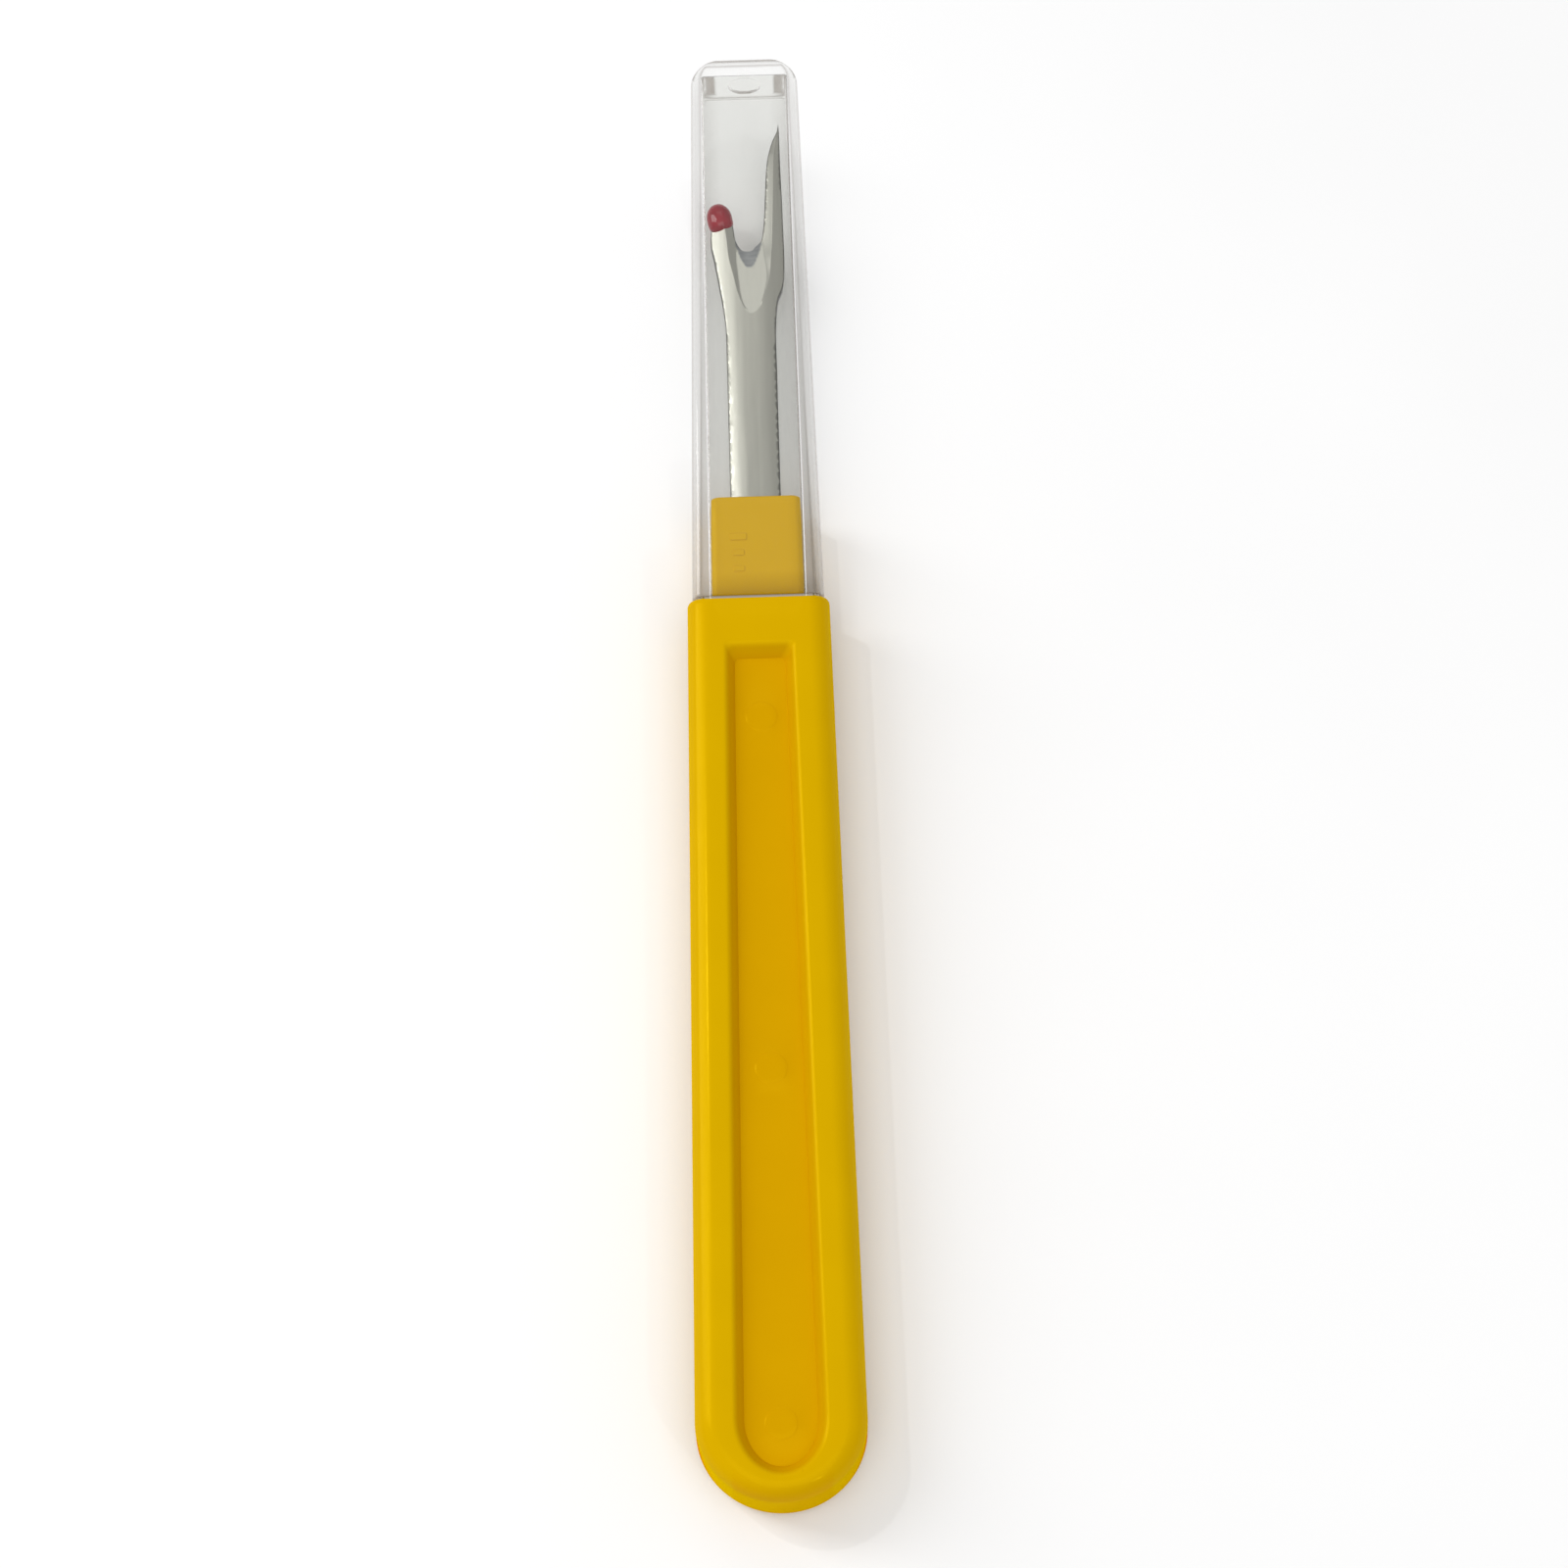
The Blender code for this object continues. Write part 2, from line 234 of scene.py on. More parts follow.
def rounded_rectangle(half_x, half_y, corner, steps=8, side_steps=5):
    """A closed outline about the origin, anticlockwise, with points along its straight sides too."""
    corners = []
    for index, (sign_x, sign_y) in enumerate(((1, 1), (-1, 1), (-1, -1), (1, -1))):
        centre = (sign_x * (half_x - corner), sign_y * (half_y - corner))
        corners.append(arc(centre, corner, corner, 90 * index, 90 * index + 90, steps))
    points = []
    for corner_arc, following in zip(corners, corners[1:] + corners[:1]):
        points += corner_arc + between(corner_arc[-1], following[0], side_steps)
    return points


def mesh_object(name, shape, material, sharp_deg):
    """An object from a bmesh, shaded smooth but for its sharp edges."""
    bmesh.ops.recalc_face_normals(shape, faces=shape.faces)
    mesh = bpy.data.meshes.new(name)
    shape.to_mesh(mesh)
    shape.free()
    mesh.shade_smooth()
    mesh.set_sharp_from_angle(angle=math.radians(sharp_deg))
    mesh.materials.append(material)
    made = bpy.data.objects.new(name, mesh)
    bpy.context.scene.collection.objects.link(made)
    return made


def stack(shape, rings):
    """Adds rings of equally many points to a bmesh, joined by quads, and returns their vertices."""
    loops = [[shape.verts.new(point) for point in ring] for ring in rings]
    for first, second in zip(loops, loops[1:]):
        for i, corner in enumerate(first):
            j = (i + 1) % len(first)
            shape.faces.new((corner, first[j], second[j], second[i]))
    return loops


def closed_stack(name, rings, material, sharp_deg):
    """An object made of stacked rings, with a flat face over the first and the last of them."""
    shape = bmesh.new()
    loops = stack(shape, rings)
    shape.faces.new(loops[0])
    shape.faces.new(loops[-1])
    return mesh_object(name, shape, material, sharp_deg)


def union(target, tool, sharp_deg):
    """Joins tool into target as one closed mesh, and removes tool."""
    modifier = target.modifiers.new("union", "BOOLEAN")
    modifier.operation = "UNION"
    modifier.object = tool
    modifier.solver = "EXACT"
    evaluated = target.evaluated_get(bpy.context.evaluated_depsgraph_get())
    joined = bpy.data.meshes.new_from_object(evaluated)
    target.modifiers.clear()
    target.data = joined
    bpy.data.objects.remove(tool)
    joined.set_sharp_from_angle(angle=math.radians(sharp_deg))


# ---- Materials ----


class Surface:
    """A Principled material, with short calls for the nodes that vary it over the surface."""

    def __init__(self, name, **values):
        self.material = bpy.data.materials.new(name)
        self.material.use_nodes = True
        self.nodes = self.material.node_tree.nodes
        self.shader = self.nodes["Principled BSDF"]
        for socket, value in values.items():
            self.shader.inputs[socket.replace("_", " ")].default_value = value
        self.place = self.nodes.new("ShaderNodeTexCoord").outputs["Object"]

    def link(self, source, target):
        self.material.node_tree.links.new(source, target)

    def noise(self, scale, stretch=(1, 1, 1), detail=3):
        """Noise with features about 1 / scale metres across, longer along an axis with a small stretch."""
        mapping = self.nodes.new("ShaderNodeMapping")
        mapping.inputs["Scale"].default_value = stretch
        self.link(self.place, mapping.inputs["Vector"])
        made = self.nodes.new("ShaderNodeTexNoise")
        made.inputs["Scale"].default_value = scale
        made.inputs["Detail"].default_value = detail
        self.link(mapping.outputs["Vector"], made.inputs["Vector"])
        return made.outputs["Fac"]

    def attribute(self, name):
        """A number that the mesh holds at each of its points."""
        made = self.nodes.new("ShaderNodeAttribute")
        made.attribute_name = name
        return made.outputs["Fac"]

    def ramp(self, source, *stops):
        """A number from 0 to 1 turned into colours or greys, given as (position, value) stops."""
        made = self.nodes.new("ShaderNodeValToRGB")
        elements = made.color_ramp.elements
        while len(elements) < len(stops):
            elements.new(0.5)
        for element, (position, value) in zip(elements, stops):
            element.position = position
            element.color = (*value, 1) if isinstance(value, tuple) else (value, value, value, 1)
        self.link(source, made.inputs["Fac"])
        return made.outputs["Color"]

    def mix(self, factor, first, second):
        """The first colour where the factor is 0 and the second where it is 1."""
        made = self.nodes.new("ShaderNodeMix")
        made.data_type = "RGBA"
        for socket, value in (("Factor_Float", factor), ("A_Color", first), ("B_Color", second)):
            target = next(entry for entry in made.inputs if entry.identifier == socket)
            if isinstance(value, tuple):
                target.default_value = (*value, 1)
            else:
                self.link(value, target)
        return next(entry for entry in made.outputs if entry.identifier == "Result_Color")

    def bump(self, height, distance, after=None):
        """A surface that rises by up to the distance, on top of another bump if there is one."""
        made = self.nodes.new("ShaderNodeBump")
        made.inputs["Distance"].default_value = distance
        self.link(height, made.inputs["Height"])
        if after:
            self.link(after, made.inputs["Normal"])
        return made.outputs["Normal"]

    def set(self, socket, source):
        self.link(source, self.shader.inputs[socket])


def yellow_plastic():
    """Glossy moulded plastic with faint mottling, waves and a few specks, and painted shade that makes the
    recess darker and more orange.
    """
    made = Surface(
        "yellow_plastic",
        Specular_Tint=(1.0, 0.75, 0.05, 1),
        Specular_IOR_Level=0.25,
        Coat_Weight=1.0,
        Coat_IOR=1.0,
        Coat_Tint=(1.0, 0.975, 0.35, 1),
    )
    cloud = made.noise(180, detail=4)
    rim = made.ramp(cloud, (0.3, (0.615, 0.37, 0.0)), (0.7, (0.63, 0.382, 0.0)))
    # Painted shade: the recess, and the rounded edge at the butt, get a darker, more orange colour, as if
    # its walls shaded it and the yellow plastic bounced light into it
    floor = made.ramp(cloud, (0.3, (0.605, 0.328, 0.0)), (0.7, (0.62, 0.338, 0.0)))
    colour = made.mix(made.attribute("recess"), rim, floor)
    specks = made.ramp(made.noise(900, detail=1), (0.0, 1.0), (0.19, 0.0))
    colour = made.mix(specks, colour, (0.30, 0.14, 0.0))
    made.set("Base Color", colour)
    made.set("Roughness", made.ramp(made.noise(250, detail=2), (0.35, 0.17), (0.65, 0.20)))
    made.set("Normal", made.bump(made.noise(300, detail=2), 0.004 * MM))
    return made.material


def ground_steel():
    """Stamped strip with marks along it, darker where it is ground, with painted shade, nearly black,
    along its edges.
    """
    made = Surface("ground_steel", Metallic=1.0)
    ground = made.attribute("ground")
    grain = made.noise(2500, stretch=(1, 0.05, 1), detail=4)
    skin = made.ramp(grain, (0.3, (0.54, 0.535, 0.475)), (0.7, (0.58, 0.575, 0.51)))
    cross_grain = made.noise(4000, stretch=(0.1, 1, 1), detail=4)
    cut = made.ramp(cross_grain, (0.3, (0.30, 0.31, 0.32)), (0.7, (0.40, 0.41, 0.41)))
    face = made.mix(ground, skin, cut)
    # Painted shade: the strip's rounded edges are made nearly black, as if its sides mirrored dark
    # surroundings
    made.set("Base Color", made.mix(made.attribute("blade_edge_shade"), face, (0.03, 0.03, 0.027)))
    skin_roughness = made.ramp(grain, (0.3, 0.28), (0.7, 0.32))
    made.set("Roughness", made.mix(ground, skin_roughness, (0.36, 0.36, 0.36)))
    made.set("Normal", made.bump(grain, 0.0004 * MM))
    return made.material


def red_bead():
    """A glossy dipped bead, a little uneven."""
    made = Surface("red_bead", Specular_IOR_Level=0.4, Roughness=0.07)
    cloud = made.noise(900, detail=3)
    made.set("Base Color", made.ramp(cloud, (0.3, (0.235, 0.010, 0.020)), (0.7, (0.30, 0.018, 0.030))))
    made.set("Normal", made.bump(made.noise(700, detail=2), 0.02 * MM))
    return made.material


def clear_plastic():
    """Clear moulded polystyrene with faint flow marks along its length and painted shade where `edge` is
    high.
    """
    made = Surface("clear_plastic", Transmission_Weight=1.0, IOR=1.45)
    edge = made.attribute("edge")
    # Painted shade: the cap turns brown-grey along its outline, its walls, its mouth and the dimple's
    # wall, where refraction makes it look dark
    made.set("Base Color", made.mix(edge, (0.88, 0.882, 0.865), (0.16, 0.13, 0.105)))
    flow = made.noise(500, stretch=(1, 0.12, 1), detail=3)
    made.set("Roughness", made.ramp(flow, (0.35, 0.015), (0.7, 0.06)))
    ripples = made.bump(made.noise(260, stretch=(1, 0.25, 1), detail=2), 0.03 * MM)
    made.set("Normal", made.bump(flow, 0.004 * MM, after=ripples))
    return made.material


def floor_paint():
    """Matt white paint, hardly uneven."""
    made = Surface("floor_paint", Roughness=0.9, Specular_IOR_Level=0.1)
    made.set("Base Color", made.ramp(made.noise(20, detail=2), (0.3, 0.90), (0.7, 0.92)))
    return made.material


# ---- Handle ----


def half_width(y):
    """The handle's half width where its straight side is at y."""
    along = (SHOULDER_Y - y) / (SHOULDER_Y - BUTT_Y - BUTT_DEPTH)
    return (SHOULDER_WIDTH + (BUTT_WIDTH - SHOULDER_WIDTH) * along) / 2


def handle_outline(set_in, corner):
    """The handle's outline, anticlockwise, set in from its sides, its shoulder and its butt."""
    side, shoulder, butt = set_in
    steps = OUTLINE_STEPS
    top_y = SHOULDER_Y - shoulder
    arc_y = BUTT_Y + BUTT_DEPTH
    corner_x, corner_y = half_width(top_y) - side - corner, top_y - corner
    right = arc((corner_x, corner_y), corner, corner, 0, 90, steps["corner"])
    left = arc((-corner_x, corner_y), corner, corner, 90, 180, steps["corner"])
    butt_arc = arc((0, arc_y), half_width(arc_y) - side, BUTT_DEPTH - butt, 180, 360, steps["butt"])
    return [
        *right,
        *between(right[-1], left[0], steps["shoulder"]),
        *left,
        *between(left[-1], butt_arc[0], steps["side"]),
        *butt_arc,
        *between(butt_arc[-1], right[0], steps["side"]),
    ]


def handle_rings(direction):
    """Rings on one face: from the recess's floor up its slope, over the rim and down the side."""
    rings = []
    for depth, out in (*RECESS_WALL, *bezier(RECESS_BROW, RECESS_BROW_STEPS)):
        set_in = [floor - out * width for floor, width in zip(RECESS_FLOOR, RECESS_SLOPE)]
        z = MID_Z + direction * (HALF_THICKNESS - RECESS_DEPTH * depth)
        rings.append([(x, y, z) for x, y in handle_outline(set_in, RECESS_CORNER)])
    for i in range(EDGE_STEPS + 1):
        turn = math.radians(90 * i / EDGE_STEPS)
        set_in = [edge * (1 - math.sin(turn)) for edge in EDGE]
        z = MID_Z + direction * (HALF_THICKNESS - EDGE_RADIUS * (1 - math.cos(turn)))
        rings.append([(x, y, z) for x, y in handle_outline(set_in, SHOULDER_CORNER)])
    return rings


def ejector_points(mark):
    """Rings of points round an ejector's mark, in millimetres."""
    centre, last_deg = (0, mark / MM), 360 - 360 / EJECTOR_POINTS
    points = []
    for share in EJECTOR_RINGS:
        radius = EJECTOR_RADIUS / MM * share
        points += arc(centre, radius, radius, 0, last_deg, EJECTOR_POINTS - 1)
    return [Vector(point) for point in points]


def fill_floor(shape, loop, marks, z, step):
    """Closes a ring with a fine flat floor, in which round marks stand up by `step`."""
    points = [vertex.co.xy / MM for vertex in loop]
    count = len(points)
    edges = [(i, (i + 1) % count) for i in range(count)]
    for mark in marks:
        points += ejector_points(mark)
    coords, _, faces, sources, _, _ = delaunay_2d_cdt(points, edges, [], CDT_INSIDE, FLOOR_MERGE)
    top, foot = EJECTOR_SLOPE
    vertices = []
    for coord, source in zip(coords, sources):
        rim = [index for index in source if index < count]
        if rim:
            vertices.append(loop[rim[0]])
            continue
        place = Vector(coord) * MM
        away = min((math.hypot(place.x, place.y - mark) for mark in marks), default=math.inf)
        share = min(max((foot - away / EJECTOR_RADIUS) / (foot - top), 0), 1)
        vertices.append(shape.verts.new((place.x, place.y, z + step * share)))
    for face in faces:
        shape.faces.new([vertices[i] for i in face])


def build_collar(material):
    """The neck that the cap is pushed onto, rounded at its end, with its root inside the handle."""
    straight = COLLAR_LENGTH - COLLAR_EDGE
    sections = [(SHOULDER_Y - COLLAR_ROOT, COLLAR_BASE, 0)]
    for i in range(COLLAR_STEPS + 1):
        size = [base + (top - base) * i / COLLAR_STEPS for base, top in zip(COLLAR_BASE, COLLAR_TOP)]
        sections.append((SHOULDER_Y + straight * i / COLLAR_STEPS, size, 0))
    for i in range(1, COLLAR_EDGE_STEPS + 1):
        turn = math.radians(90 * i / COLLAR_EDGE_STEPS)
        y = SHOULDER_Y + COLLAR_LENGTH - COLLAR_EDGE * (1 - math.sin(turn))
        sections.append((y, COLLAR_TOP, COLLAR_EDGE * (1 - math.cos(turn))))
    rings = []
    for y, (width, depth), inset in sections:
        outline = rounded_rectangle(width / 2 - inset, depth / 2 - inset, COLLAR_CORNER)
        rings.append([(x, y, MID_Z + z) for x, z in outline])
    return closed_stack("collar", rings, material, SHARP_DEG["handle"])


def build_rib(y, size, material):
    """A small rib that stands up from the collar's front face, with a narrow bevel round its top."""
    rings = []
    for z, inset in ((RIB_TOP - RIB_HEIGHT, 0), (RIB_TOP - RIB_EDGE, 0), (RIB_TOP, RIB_EDGE)):
        outline = rounded_rectangle(size[0] / 2 - inset, size[1] / 2 - inset, RIB_CORNER, 4)
        rings.append([(RIB_X + across, y + along, z) for across, along in outline])
    return closed_stack("rib", rings, material, SHARP_DEG["handle"])


def measure_recess(handle):
    """Gives points within the recess's width their depth below the face, as a share of the recess's: the
    mask of the painted shade in the recess and on the butt's rounded edge.
    """
    recess = handle.data.attributes.new("recess", "FLOAT", "POINT")
    side, shoulder = (floor - slope for floor, slope in zip(RECESS_FLOOR[:2], RECESS_SLOPE[:2]))
    for vertex, entry in zip(handle.data.vertices, recess.data):
        x, y, z = vertex.co
        depth = HALF_THICKNESS - abs(z - MID_Z)
        within = abs(x) < half_width(y) - side and y < SHOULDER_Y - shoulder
        entry.value = min(depth / RECESS_DEPTH, 1) if within else 0


def build_handle(material):
    """The handle with its recesses and ejector marks, its collar and its ribs, as one moulding."""
    front, back = handle_rings(1), handle_rings(-1)
    shape = bmesh.new()
    loops = stack(shape, [*front, *reversed(back)])
    fill_floor(shape, loops[0], EJECTOR_YS, front[0][0][2], EJECTOR_STEP)
    fill_floor(shape, loops[-1], (), back[0][0][2], 0)
    handle = mesh_object("handle_moulding", shape, material, SHARP_DEG["handle"])
    union(handle, build_collar(material), SHARP_DEG["handle"])
    for y, size in zip(RIB_YS, RIB_SIZES):
        union(handle, build_rib(y, size, material), SHARP_DEG["handle"])
    measure_recess(handle)
    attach(handle, "ripper")
    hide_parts("handle")


# ---- Blade ----


def bead_point(across, along):
    """A point (x, y) in millimetres, across and along the short prong from the bead's centre."""
    cos, sin = math.cos(BEAD_LEAN), math.sin(BEAD_LEAN)
    x, y = BEAD_CENTRE.x / MM, BEAD_CENTRE.y / MM
    return (x + across * cos - along * sin, y + across * sin + along * cos)


def blade_outline():
    """The flat outline of tang, shank and fork, anticlockwise from the tang's right corner."""
    long_outer = [(SHANK_HALF, SHANK_END_Y), (2.5, 44.4), (2.7, 45.6), (3.05, 46.6), (3.25, 47.6)]
    long_outer += [(3.37, 49.4), (3.35, 52.0), (3.3, 56.0), (3.22, 60.5), (3.21, 63.4)]
    long_inner = [(3.0, 63.6), (2.56, 62.5), (2.22, 61.3), (2.0, 60.3), (1.8, 58.3), (1.6, 54.9)]
    long_inner += [(1.42, 52.9)]
    crotch = [(1.2, 51.8), (0.68, 51.25), (0.28, 50.8), (-0.55, 50.8), (-0.98, 51.3), (-1.3, 52.2)]
    nib = [bead_point(1.06, -1.15), bead_point(0.9, 0.0), bead_point(0.45, 0.75)]
    nib += [bead_point(-0.45, 0.75), bead_point(-0.9, 0.0), bead_point(-1.08, -1.15)]
    short_outer = [(-3.6, 51.6), (-3.29, 49.8), (-2.76, 46.1), (-2.45, 43.6), (-SHANK_HALF, SHANK_END_Y)]
    tang_corner = (SHANK_HALF, TANG_Y)
    shank = [tang_corner, *between(tang_corner, (SHANK_HALF, SHANK_END_Y), SHANK_STEPS)]
    return [
        *shank,
        *smooth_line(long_outer),
        TIP,
        *smooth_line([*long_inner, *crotch, *nib, *short_outer]),
        *[(-x, y) for x, y in reversed(shank)],
    ]


def hollow_ridge():
    """The edge between the crown and the hollow ground into it, from the short prong to the long one."""
    left = [(-2.75, 56.0), (-2.19, 52.7), (-1.94, 50.0), (-1.55, 48.0), (-1.12, 46.0), (-0.62, 44.6)]
    right = [(0.85, 44.5), (1.5, 46.1), (1.93, 47.9), (2.11, 49.9), (2.24, 51.4), (2.37, 54.3)]
    right += [(2.5, 57.5), (2.64, 60.5), (2.92, 63.2), (3.1, 65.5)]
    return smooth_line([*left, (0.1, HOLLOW_START_Y), *right])


def away_from(line, points, closed=False):
    """Each point's distance from a line of straight pieces."""
    start = np.array(line)
    end = np.roll(start, -1, axis=0)
    if not closed:
        start, end = start[:-1], end[:-1]
    run = end - start
    offset = points[:, None] - start
    share = np.clip((offset * run).sum(2) / np.maximum((run**2).sum(1), 1e-12), 0, 1)
    return np.linalg.norm(offset - share[..., None] * run, axis=2).min(1)


def inside(line, points):
    """Which points lie inside a closed line."""
    start = np.array(line)
    end = np.roll(start, -1, axis=0)
    x, y = points[:, :1], points[:, 1:]
    crosses = (start[:, 1] > y) != (end[:, 1] > y)
    rise = np.where(end[:, 1] == start[:, 1], 1.0, end[:, 1] - start[:, 1])
    at = start[:, 0] + (y - start[:, 1]) * (end[:, 0] - start[:, 0]) / rise
    return (crosses & (x < at)).sum(1) % 2 == 1


def ground_front(points, crown):
    """The front surface with its hollow and bevel ground in, and which points are in each of them."""
    x, y = points.T
    ridge = hollow_ridge()
    hollowed = inside([*ridge, BEYOND_TIP], points)
    wall = crown - HOLLOW_WALL * away_from(ridge, points)
    floor = CROWN_Z - HOLLOW_SLOPE * (y - HOLLOW_START_Y)
    hollow = np.where(hollowed, np.maximum(wall, floor), crown)
    front = np.minimum(crown, hollow)
    bevel_floor = CROWN_Z - HOLLOW_SLOPE * (BEVEL_START_Y - HOLLOW_START_Y)
    bevel = bevel_floor - BEVEL_SLOPE * (y - BEVEL_START_Y) + x**2 / (2 * BEVEL_RADIUS)
    in_crotch = (y > BEVEL_LOWEST_Y) & (x > BEVEL_X[0]) & (x < BEVEL_X[1])
    bevelled = hollowed & in_crotch & (bevel < front)
    return np.where(bevelled, bevel, front), bevelled, hollowed & (hollow < crown)


def blade_heights(points, outline):
    """The front and back surface over each point, how far it is ground, and how near the sheared edge,
    which masks the painted shade there.
    """
    x, y = points.T
    axis_z = CROWN_Z - GUTTER_RADIUS
    crown = axis_z + np.sqrt(GUTTER_RADIUS**2 - x**2)
    back = axis_z + np.sqrt((GUTTER_RADIUS - STEEL) ** 2 - x**2)
    front, bevelled, hollowed = ground_front(points, crown)
    front = np.maximum(front, back + EDGE_THICKNESS)

    taper = np.clip((TIP[1] - y) / TIP_TAPER, TIP_THINNEST, 1)
    middle = (front + back) / 2
    front, back = middle + (front - middle) * taper, middle + (back - middle) * taper

    radius = np.minimum(BLANK_ROUNDING, ROUNDING_LIMIT * (front - back))
    depth = np.clip(radius - away_from(outline, points, closed=True), 0, radius)
    drop = radius - np.sqrt(radius**2 - depth**2)
    ground = np.where(bevelled, 1.0, np.where(hollowed, HOLLOW_SHADE, 0.0))
    return front - drop, back + drop, ground, np.sqrt(depth / radius)


def grid(start_y, end_y, step):
    """Points (x, y) in rows and columns across the blade's width."""
    across = np.arange(-GRID_HALF_WIDTH, GRID_HALF_WIDTH, step[0])
    return np.stack(np.meshgrid(across, np.arange(start_y, end_y, step[1])), -1).reshape(-1, 2)


def blade_points(outline):
    """Points inside the outline: rows close to its edge, and a grid that is finer in the fork."""
    line = np.array(outline)
    along = np.roll(line, -1, axis=0) - np.roll(line, 1, axis=0)
    inward = np.stack([-along[:, 1], along[:, 0]], axis=1) / np.linalg.norm(along, axis=1)[:, None]
    depths = [BLANK_ROUNDING * share for share in ROUNDING_ROWS]
    near = np.concatenate([line + inward * depth for depth in depths])
    least = ROW_SPARE * np.repeat(depths, len(line))
    near = near[inside(outline, near) & (away_from(outline, near, closed=True) > least)]
    far = np.concatenate([grid(FORK_Y, TIP[1], FORK_STEP), grid(TANG_Y, FORK_Y, SHANK_STEP)])
    far = far[inside(outline, far) & (away_from(outline, far, closed=True) > BLANK_ROUNDING * GRID_SPARE)]
    far = far[away_from(hollow_ridge(), far) > RIDGE_SPARE]
    return np.concatenate([near, far])


def fill_blade(outline):
    """The flat outline filled with triangles: its points, its faces, and its border's points in order."""
    ridge = hollow_ridge()
    ridge = [point for point, kept in zip(ridge, inside(outline, np.array(ridge))) if kept]
    points = [Vector(p) for p in (*outline, *ridge, *map(tuple, blade_points(outline)))]
    count = len(outline)
    edges = [(i, (i + 1) % count) for i in range(count)]
    edges += [(count + i, count + i + 1) for i in range(len(ridge) - 1)]
    coords, _, faces, sources, _, _ = delaunay_2d_cdt(points, edges, [], CDT_INSIDE, BLADE_MERGE)
    place_of = {index: i for i, source in enumerate(sources) for index in source if index < count}
    border = list(dict.fromkeys(place_of[i] for i in range(count)))
    return np.array([tuple(c) for c in coords]), faces, border


def build_blade(material):
    """The fork, its tang and its shank, from two lifted sheets that are joined along their border."""
    outline = blade_outline()
    flat, faces, border = fill_blade(outline)
    front, back, ground, blade_edge_shade = blade_heights(flat, outline)
    keep = sorted({i for face in faces for i in face})

    shape = bmesh.new()
    ground_layer = shape.verts.layers.float.new("ground")
    blade_edge_shade_layer = shape.verts.layers.float.new("blade_edge_shade")
    sheets = []
    for heights, shade in ((front, ground), (back, ground * 0)):
        sheet = {i: shape.verts.new((flat[i][0] * MM, flat[i][1] * MM, heights[i] * MM)) for i in keep}
        for i, vertex in sheet.items():
            vertex[ground_layer] = shade[i]
            vertex[blade_edge_shade_layer] = blade_edge_shade[i]
        sheets.append(sheet)
    for face in faces:
        shape.faces.new([sheets[0][i] for i in face])
        shape.faces.new([sheets[1][i] for i in reversed(face)])
    for i, j in zip(border, border[1:] + border[:1]):
        shape.faces.new((sheets[0][j], sheets[0][i], sheets[1][i], sheets[1][j]))
    blade = mesh_object("fork_blade", shape, material, SHARP_DEG["blade"])
    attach(blade, "ripper")
    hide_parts("blade")


# ---- Bead ----


def build_bead(material):
    """A drop of plastic, domed at its free end and squarer round the prong."""
    rings = []
    for row in range(1, BEAD_ROWS):
        turn = math.pi * (row / BEAD_ROWS - 0.5)
        squareness = 1.0 if turn > 0 else BEAD_SQUARENESS
        along = BEAD_HALF.y / MM * math.copysign(abs(math.sin(turn)) ** squareness, turn)
        reach = math.cos(turn) ** squareness
        ring = []
        for i in range(BEAD_AROUND):
            angle = 2 * math.pi * i / BEAD_AROUND
            x, y = bead_point(BEAD_HALF.x / MM * reach * math.cos(angle), along)
            ring.append((x * MM, y * MM, BEAD_CENTRE.z + BEAD_HALF.z * reach * math.sin(angle)))
        rings.append(ring)
    bead = closed_stack("bead_drop", rings, material, SHARP_DEG["bead"])
    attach(bead, "ripper")
    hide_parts("safety_bead")


# ---- Cap ----


def cap_ring(y, size, inset, corner):
    """A ring of the cap at y, set in from its sides and from its faces."""
    half = (size[0] / 2 - inset[0], size[1] / 2 - inset[1])
    corner = max(corner - min(inset), SMALLEST_CORNER)
    return [(x, y, MID_Z + z) for x, z in rounded_rectangle(*half, corner, CAP_CORNER_STEPS)]


def domed_end(end_y, size, corner, rounding, edge, steps):
    """Rings that close an end, rounded by `rounding` at its sides and by `edge` at its faces."""
    rings = []
    for i in range(steps + 1):
        turn = math.radians(90 * (steps - i) / steps)
        back = rounding * (1 - math.sin(turn))
        rise = max(1 - back / edge, 0)
        inset = (rounding * (1 - math.cos(turn)), edge * (1 - math.sqrt(1 - rise**2)))
        rings.append(cap_ring(end_y - back, size, inset, corner))
    return rings


def round_ring(ring, y, radius):
    """A circle round the cap's axis, each point in the same direction as the ring's."""
    turns = [math.atan2(z - MID_Z, x) for x, _, z in ring]
    return [(radius * math.cos(t), y, MID_Z + radius * math.sin(t)) for t in turns]


def rings_between(start, end, steps):
    """Rings between two rings, both left out."""
    return [[between(a, b, steps)[i] for a, b in zip(start, end)] for i in range(steps - 1)]


def cap_half_width(y):
    """Half the cap's width at y, its rounded end included."""
    share = (y - CAP_LOW.y) / (CAP_HIGH.y - CAP_LOW.y)
    half = (CAP_MOUTH[0] + (CAP_END[0] - CAP_MOUTH[0]) * share) / 2
    rise = max(1 - (CAP_HIGH.y - y) / CAP_END_ROUNDING, 0)
    return half - CAP_END_ROUNDING * (1 - math.sqrt(1 - min(rise, 1) ** 2))


